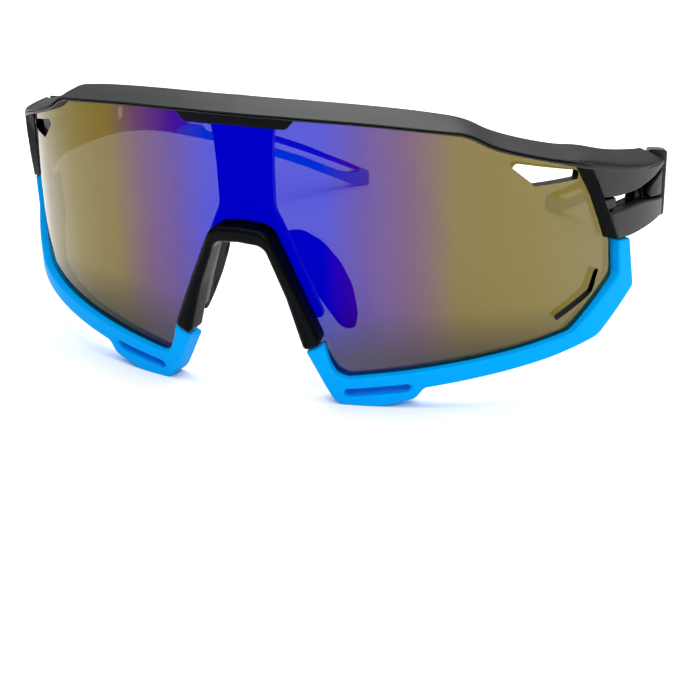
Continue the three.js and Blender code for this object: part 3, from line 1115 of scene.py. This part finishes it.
    def build(self, bench: Bench) -> None:
        """Builds the brow's pieces."""
        bench.piece("brow_bar", self.bar(), Slot.MATTE, Body.FRONT, "brow_frame")
        for side in Side:
            pieces = (
                ("end_piece", self.arms(), Slot.MATTE),
                ("end_wall", self.wall(), Slot.GLOSS),
                ("hinge_eyes", self.eyes(), Slot.MATTE),
                ("end_bevel", self.bevel_strip(), Slot.GLOSS),
            )
            for name, bm, slot in pieces:
                bench.piece(f"{name}_{side.word}", mirrored(bm, side), slot, Body.FRONT, "brow_frame")


@dataclass
class HingeCover:
    """The polished cover between the arms of an end-piece."""

    curve: PlanCurve
    outline: tuple[Corner, ...] = (
        (88.0, 1.0, 0.7), (90, 2.2, 1), (95.2, 3.7, 0), (95.2, -2.2, 0), (89.4, -0.9, 0.8),
    )
    low: float = 0.1
    high: float = 1.8

    def build(self, bench: Bench) -> None:
        """Builds both covers."""
        for side in Side:
            cover = Plate(self.outline, self.low, self.high, soft=0.2, front=0.5, back=0.1)
            bm = mirrored(laid(cover.flat(), self.curve.place, STRIP), side)
            name = f"hinge_cover_{side.word}"
            bench.piece(f"cover_{side.word}", bm, Slot.GLOSS, Body.FRONT, name)


@dataclass
class ShieldLens:
    """The one-piece mirror lens and the clip that holds it at the brow."""

    curve: PlanCurve
    thickness: float = 2.0
    half: tuple[Corner, ...] = (
        (0, 26, 0), (27.3, 25.1), (44.6, 22.3), (47.4, 20.5), (51.6, 18.2), (57, 16.2), (65, 13.3),
        (69.8, 11.8), (73.7, 3.7), (75.4, 0), (78.2, -6.4), (78.9, -14.8), (67.6, -24.1), (57.7, -25.8),
        (45.2, -27.8), (33.1, -29.4), (20.6, -31.2), (18.3, -30.4), (17, -28), (15.1, -23.1),
        (9.9, -10.9), (6, -1.5), (4.5, 0), (0, 0.4, 0),
    )
    blade_vent: tuple[Corner, ...] = (
        (54.6, 13.1, 0.35), (55.4, 13.95, 0.5), (69.1, 10.3, 0.2), (68.9, 8.6, 0.3), (59.4, 8.8, 0.3),
    )
    slit: tuple[Corner, ...] = (
        (73.9, -12.1, 0.5), (75.1, -12.4, 0.5), (73.2, -17.1, 0.6), (64.5, -21.2, 0.5), (63.9, -20.1, 0.5),
        (72.2, -16.1, 0.4),
    )
    clip: tuple[Corner, ...] = ((0, 24.9, 0), (13, 24.6, 0.4), (11, 22.3, 0.7), (0, 22.5, 0))

    def lens(self) -> bmesh.types.BMesh:
        """The lens with its vents.

        Returns:
            Its mesh, with the walls of the vents marked.
        """
        holes = []
        for hole in (self.blade_vent, self.slit):
            holes.append(list(hole))
            holes.append([(-s, h, soft) for s, h, soft in hole])
        bm = Plate(both_sides(self.half), -self.thickness, 0, holes, soft=0.3, front=0.16, back=0.16).flat()
        wall = bm.faces.layers.float.new("vent_wall")
        for face in bm.faces:
            face[wall] = float(abs(face.normal.z) < 0.7 and self.beside_vent(face.calc_center_median()))
        return laid(bm, self.curve.place, 1.0)

    @staticmethod
    def beside_vent(point: Vector) -> bool:
        """Whether a place is at one of the vents, and not at the edge of the lens.

        Args:
            point: A place in the flat pattern.

        Returns:
            True at a vent.
        """
        reach, h = abs(point.x), point.y
        at_blade = 54 < reach < 69.5 and 8 < h < 14.2
        at_slit = 63.5 < reach < 75.5 and -22.6 + 0.823 * (reach - 67.6) < h < -11.9
        return at_blade or at_slit

    def build(self, bench: Bench) -> None:
        """Builds the lens and its clip."""
        bench.piece("mirror_lens", self.lens(), Slot.TINT, Body.FRONT, "shield_lens")
        clip = Plate(both_sides(self.clip), 0.05, 1.4, soft=0.3, front=0.35, back=0)
        bench.piece("brow_clip", laid(clip.flat(), self.curve.place), Slot.GLOSS, Body.FRONT, "lens_clip")


@dataclass
class LowerRims:
    """The blue rims under the lens, each with its vent slot beside the nose."""

    curve: PlanCurve
    back: float = -3.8
    front: float = 1.7
    nose: tuple[Corner, ...] = (
        (20.4, -36.8, 1.2), (18.4, -35.5, 1), (17.3, -33.6, 0.6), (12.9, -24.9, 0.45), (16.6, -23.1, 0.45),
    )
    inner: tuple[Corner, ...] = (
        (17.9, -27.9, 0.8), (19.1, -29.8, 0.5), (21.1, -30.6, 0.6), (33.1, -29, 0), (45.1, -27.3, 0),
        (57.7, -25.5, 0), (67.4, -24, 0.8), (79.6, -14.7, 0.8), (79.2, -6.9, 0.45),
    )
    rear_inner: tuple[Corner, ...] = (
        (17.3, -28.2, 0.8), (18.8, -30.3, 0.5), (21.2, -31.3, 0.6), (33.2, -29.6, 0), (45.2, -27.9, 0),
        (57.8, -26.2, 0), (68, -25, 0.8), (80.6, -15.4, 0.8), (80.2, -7, 0.45),
    )
    outer: tuple[Corner, ...] = (
        (82.7, -7.4, 0.45), (84.3, -18.5, 0.9), (73.8, -26.4, 0.9), (62.5, -28.4, 0.8), (49.1, -30.4, 0),
        (36.7, -32.3, 0.6), (34.8, -34.7, 0.7), (28.6, -36.5, 1.2),
    )
    vent: tuple[Corner, ...] = (
        (21, -32.9, 0.4), (33.6, -31.4, 0.3), (34.3, -31.9, 0.3), (33.4, -33.2, 0.4), (21, -34.6, 0.5),
        (20.3, -33.8, 0.5),
    )

    def rim(self) -> bmesh.types.BMesh:
        """The right rim: a front layer with the lip at the lens, and a rear layer behind its edge.

        Returns:
            Its mesh.
        """
        lip = Plate(
            [*self.nose, *self.inner, *self.outer], -0.6, self.front, [self.vent], soft=0.3, front=0.45,
            back=0,
        )
        rear = Plate(
            [*self.nose[:3], (13.6, -26.3, 0.45), (15.8, -25.3, 0.45), *self.rear_inner, *self.outer],
            self.back, -0.55, [self.vent], soft=0.3, front=0, back=0.4,
        )
        return merged(*(laid(layer.flat(), self.curve.place, 1.0) for layer in (lip, rear)))

    def build(self, bench: Bench) -> None:
        """Builds both rims."""
        for side in Side:
            name = f"lower_rim_{side.word}"
            bench.piece(f"blue_rim_{side.word}", mirrored(self.rim(), side), Slot.BLUE, Body.FRONT, name)


@dataclass
class NoseParts:
    """The polished bridge over the nose, the post behind the lens and the soft pads."""

    curve: PlanCurve
    arch: tuple[Corner, ...] = (
        (0, 1.6, 0), (6.1, 1.2, 2.4), (11.2, -10.4, 0), (16.4, -22.8, 1.3), (12.7, -24.6, 1.3),
        (9.4, -12.9, 0), (5.3, -2.3, 1.6), (0, -1.9, 0),
    )
    post: tuple[Corner, ...] = (
        (0, 23.9, 0), (7.4, 23.8, 0.6), (6.6, 18, 0), (6.3, 12, 0), (6.2, 4, 1), (7.6, 1.2, 1), (9.5, -3, 1),
        (13.2, -11.5, 0), (16, -18.6, 0.8), (12.1, -20, 0.8), (9.9, -12.9, 0), (6.7, -3.3, 0.8),
        (5.2, -1.7, 0.8), (0, -1.4, 0),
    )
    leaf: tuple[Corner, ...] = (
        (0, 1), (4.5, 3), (9.2, 8), (12, 14), (12.6, 20), (10.6, 25.6), (7.4, 28), (4.6, 25.6),
        (2.8, 20), (0.7, 12),
    )
    pad_slots: tuple[tuple[float, float], ...] = ((8.4, 12), (7.8, 21))
    pad_flare: float = 0.18

    def pad(self) -> bmesh.types.BMesh:
        """The right pad: a leaf that runs back from the post's leg.

        Returns:
            Its mesh.
        """
        reach = 1.4
        leaf = [(u, v, reach) for u, v in self.leaf]
        slots = [
            [(u - 0.5, v - 1.3), (u + 0.5, v - 1.3), (u + 0.5, v + 1.3), (u - 0.5, v + 1.3)]
            for u, v in self.pad_slots
        ]
        bm = Plate(leaf, -0.85, 0.85, slots, soft=0.25, front=0.4, back=0.4).flat()
        top = self.curve.place(7, -0.5, -5.5)
        bottom = self.curve.place(15.6, -21.5, -5.5)
        down = (bottom - top).normalized()
        back = Vector((math.sin(self.pad_flare), math.cos(self.pad_flare), 0))
        through = back.cross(down).normalized()
        back = down.cross(through)
        turn = Matrix((back, down, through)).transposed().to_4x4()
        turn.translation = top
        bmesh.ops.transform(bm, matrix=turn, verts=list(bm.verts))
        return bm

    def build(self, bench: Bench) -> None:
        """Builds the bridge, the post and both pads."""
        plate = Plate(both_sides(self.arch), -2.2, 2.8, soft=0, front=1.15, back=0.3)
        arch = laid(plate.flat(), self.curve.place, STRIP)
        bench.piece("nose_arch", arch, Slot.GLOSS, Body.FRONT, "nose_bridge_rim")
        plate = Plate(both_sides(self.post), -4.7, -2.5, soft=0, front=0.3, back=0.6)
        post = laid(plate.flat(), self.curve.place)
        bench.piece("post_behind_lens", post, Slot.MATTE, Body.FRONT, "centre_post")
        for side in Side:
            bm = mirrored(self.pad(), side)
            bench.piece(f"soft_pad_{side.word}", bm, Slot.PAD, Body.FRONT, f"nose_pad_{side.word}")


@dataclass
class Temples:
    """The folding temple arms with their blue rubber grips.

    Attributes:
        rest_fold: Degrees that the right and the left temple stand swung in at rest.
    """

    curve: PlanCurve
    half_thick: float = 2.0
    pocket_out: float = 0.7
    rest_fold: tuple[float, float] = (13.0, 4.0)
    top: tuple[Corner, ...] = (
        (0, 12.1, 0), (14, 9.2, 0), (26.5, 6.3, 0), (38, 3.2, 0), (49, -0.1, 0), (60, -3.8, 0), (67, -6.2, 0),
        (84.8, -12.2, 0), (106, -21, 0), (120.2, -27.8, 0), (125.9, -30.6, 0.7),
    )
    under: tuple[Corner, ...] = (
        (124.1, -31.2, 0.7), (120.2, -29.4, 0), (106, -23, 0), (84.8, -14.3, 0), (69.5, -8.9, 0.6),
        (67.6, -8.4, 0.6), (66.4, -8.2, 0), (60, -6.5, 0.6), (54.5, -6.6, 0.4), (52.2, -7.5, 0.6),
        (49, -7, 0), (38, -4.2, 0), (28, -2.4, 0), (20, -1.6, 0), (10, -1.4, 0),
    )
    window: tuple[Corner, ...] = (
        (24.4, 4.8, 0.3), (30.2, 3.7, 0.4), (30.8, 3, 0.3), (30.6, 0.4, 0.4), (25, 0.9, 0.4),
        (24.2, 1.6, 0.3),
    )
    grip_line: tuple[Corner, ...] = (
        (52.4, -8.1, 0.65), (54.6, -6.95, 0.7), (60, -6.85, 0.6), (66.2, -8.6, 1), (67.6, -10.4, 1),
        (84.8, -16, 0), (106, -24.7, 0), (119, -30.9, 0.8), (121.6, -31.7, 0.6), (124, -31.6, 0.6),
        (126.4, -30.8, 0.8), (129.6, -32.2, 0.8), (131, -33.4, 0.7), (130.8, -34.8, 0.7),
        (129.4, -35.9, 0.7), (127.4, -36.05, 0.7), (124, -36, 1), (120.2, -34.2, 0), (106.6, -27.7, 0),
        (84.8, -18.6, 0), (67.4, -12.8, 0), (60, -10.4, 0), (54.4, -8.7, 0.65),
    )

    def arm(self) -> bmesh.types.BMesh:
        """The right arm: an outer layer, an inner layer notched for the hinge, and the tongue.

        Returns:
            Its mesh.
        """
        outer = Plate(
            [*self.top, *self.under, (0, -1.9, 0)], self.pocket_out, self.half_thick, [self.window], soft=0,
            front=0.65, back=0,
        )
        notch = [(0, -1.9, 0), (0, 0.2, 0), (4.3, 0.2, 0), (4.3, 10.2, 0), (0, 10.2, 0)]
        inner = Plate(
            [*self.top, *self.under, *notch], -self.half_thick, self.pocket_out + 0.01, [self.window], soft=0,
            front=0, back=0.65,
        )
        layers = [laid(layer.flat(), self.curve.place, 1.5) for layer in (outer, inner)]
        tongue = hinge_lug(HINGE_Y, 55.6, *TONGUE_LEVELS)
        return merged(*layers, tongue, hinge_barrel(*TONGUE_LEVELS))

    def grip(self) -> bmesh.types.BMesh:
        """The right grip: a pad under the arm, a long rail and the rounded tip."""
        plate = Plate(self.grip_line, -self.half_thick, self.half_thick, soft=0, front=0.6, back=0.6)
        return laid(plate.flat(), self.curve.place, 1.5)

    def build(self, bench: Bench) -> None:
        """Builds both temples."""
        for side, fold in zip(Side, self.rest_fold):
            body = Body(f"temple_{side.word}")
            arm, grip = (mirrored(bm, side) for bm in (self.arm(), self.grip()))
            turn = Matrix.Rotation(side.value * math.radians(fold), 3, "Z")
            for bm in (arm, grip):
                pivot = (side.value * HINGE_X, HINGE_Y, 0)
                bmesh.ops.rotate(bm, verts=list(bm.verts), cent=pivot, matrix=turn)
            bench.piece(f"arm_{side.word}", arm, Slot.MATTE, body, f"temple_arm_{side.word}")
            bench.piece(f"grip_{side.word}", grip, Slot.GRIP, body, f"temple_grip_{side.word}")


@dataclass
class HingeScrews:
    """The steel screws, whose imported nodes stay."""

    def dress(self, nodes: dict[str, bpy.types.Object], steel: bpy.types.Material) -> None:
        """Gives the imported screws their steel.

        Args:
            nodes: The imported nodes, by name.
            steel: The finish.
        """
        for side in Side:
            screw = nodes[f"hinge_screw_{side.word}"]
            screw.data.materials.clear()
            screw.data.materials.append(steel)
            log.info("%s dressed in steel", screw.name)


# ---------------------------------------------------------------- studio
@dataclass
class Studio:
    """Floor, sky, lights and camera.

    Attributes:
        aim: Point that the view turns round, in metres.
        lit: Point that the softboxes face, in metres.
        azimuth: Degrees from straight in front.
        elevation: Degrees above level.
        roll: Lean of the camera, in degrees.
        distance: From the camera to the aim, in metres.
        lens_mm: Focal length.
        shift: The camera's shift across and up.
    """

    aim: Vector
    lit: tuple[float, float, float] = (0, -0.03, 0.03)
    azimuth: float = 24.04
    elevation: float = 18.757
    roll: float = -0.506
    distance: float = 0.3615
    lens_mm: float = 87.7
    shift: tuple[float, float] = (0.0899, -0.0726)

    def floor(self) -> None:
        """A plain pale floor."""
        bm = bmesh.new()
        bmesh.ops.create_grid(bm, x_segments=1, y_segments=1, size=4)
        mesh = bpy.data.meshes.new("floor")
        bm.to_mesh(mesh)
        bm.free()
        floor = bpy.data.objects.new("floor", mesh)
        bpy.context.scene.collection.objects.link(floor)
        material, desk, shader = new_material("pale_floor")
        tone = desk.noise(object_coordinates(desk), 3.0, 2.0)
        desk.link(desk.mix(tone, (0.93, 0.93, 0.93, 1), (0.95, 0.95, 0.95, 1)), shader.inputs["Base Color"])
        shader.inputs["Roughness"].default_value = 0.9
        shader.inputs["Specular IOR Level"].default_value = 0.0
        mesh.materials.append(material)
        floor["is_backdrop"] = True

    def sky(self) -> None:
        """White surroundings, dimmer towards the horizon for everything but the direct view."""
        world = bpy.data.worlds.new("studio")
        bpy.context.scene.world = world
        world.use_nodes = True
        desk = NodeDesk(world.node_tree)
        background = world.node_tree.nodes["Background"]
        up = desk.add("ShaderNodeSeparateXYZ")
        desk.link(desk.add("ShaderNodeTexCoord").outputs["Generated"], up.inputs[0])
        glow = desk.spread(up.outputs["Z"], 0.1, 0.8, 0.07, 1.2)
        seen = desk.add("ShaderNodeLightPath").outputs["Is Camera Ray"]
        strength = desk.add("ShaderNodeMix", data_type="FLOAT")
        desk.link(seen, strength.inputs[0])
        desk.link(glow, strength.inputs[2])
        strength.inputs[3].default_value = 1.0
        desk.link(strength.outputs[0], background.inputs["Strength"])
        background.inputs["Color"].default_value = (1, 1, 1, 1)

    def softbox(self, name: str, where: Sequence[float], size: float, power: float) -> None:
        """A square soft light that points at the glasses.

        Args:
            name: Its name.
            where: Its place, in metres.
            size: Length of its side, in metres.
            power: Watts.
        """
        light = bpy.data.lights.new(name, "AREA")
        light.size = size
        light.energy = power
        lamp = bpy.data.objects.new(name, light)
        lamp.location = where
        away = Vector(where) - Vector(self.lit)
        lamp.rotation_euler = away.to_track_quat("Z", "Y").to_euler()
        bpy.context.scene.collection.objects.link(lamp)

    def camera(self) -> None:
        """The camera."""
        a, e, r = (math.radians(angle) for angle in (self.azimuth, self.elevation, self.roll))
        back = Vector((math.sin(a) * math.cos(e), -math.cos(a) * math.cos(e), math.sin(e)))
        right = Vector((math.cos(a), math.sin(a), 0))
        up = back.cross(right)
        across = math.cos(r) * right + math.sin(r) * up
        upright = -math.sin(r) * right + math.cos(r) * up
        data = bpy.data.cameras.new("camera")
        data.lens = self.lens_mm
        data.sensor_width = 36
        data.shift_x, data.shift_y = self.shift
        data.clip_start = 0.01
        camera = bpy.data.objects.new("camera", data)
        stand = Matrix((across, upright, back)).transposed().to_4x4()
        stand.translation = self.aim + back * self.distance
        camera.matrix_world = stand
        bpy.context.scene.collection.objects.link(camera)
        bpy.context.scene.camera = camera

    def build(self) -> None:
        """Builds the studio."""
        self.floor()
        self.sky()
        self.softbox("overhead", (0.0, 0.1, 0.9), 0.9, 9.0)
        self.softbox("front_right", (0.45, -0.7, 0.6), 0.3, 2.5)
        self.camera()
        bpy.context.scene.view_settings.view_transform = "Standard"


def corners(bounds: Any) -> list[list[float]]:
    """A box as plain lists."""
    return [[float(value) for value in corner] for corner in bounds]


def main() -> None:
    """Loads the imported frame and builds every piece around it."""
    logging.basicConfig(level=logging.INFO, format="%(message)s")
    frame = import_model()
    cad_box = corners(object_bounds())
    screws = [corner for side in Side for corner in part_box(f"hinge_screw_{side.word}")]
    middle = sum((Vector(corner) for corner in screws), Vector()) / len(screws)
    grip_low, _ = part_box("temple_grip_right")
    origin = Vector((middle.x, middle.y - HINGE_Y * MM, grip_low.z - TABLE_HEIGHT * MM))
    finishes = Finishes()
    bench = Bench(origin, finishes.made)
    front = FrontShape().curve()
    temple = TempleShape().curve()
    Studio(origin + Vector(VIEW_CENTRE) * MM).build()
    assemblies = (
        Brow(front), HingeCover(front), ShieldLens(front), LowerRims(front), NoseParts(front),
        Temples(temple),
    )
    for assembly in assemblies:
        assembly.build(bench)
    HingeScrews().dress(frame["nodes"], finishes.made[Slot.STEEL])
    {"cad": cad_box, "visual": corners(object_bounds())}


if __name__ == "__main__":
    main()
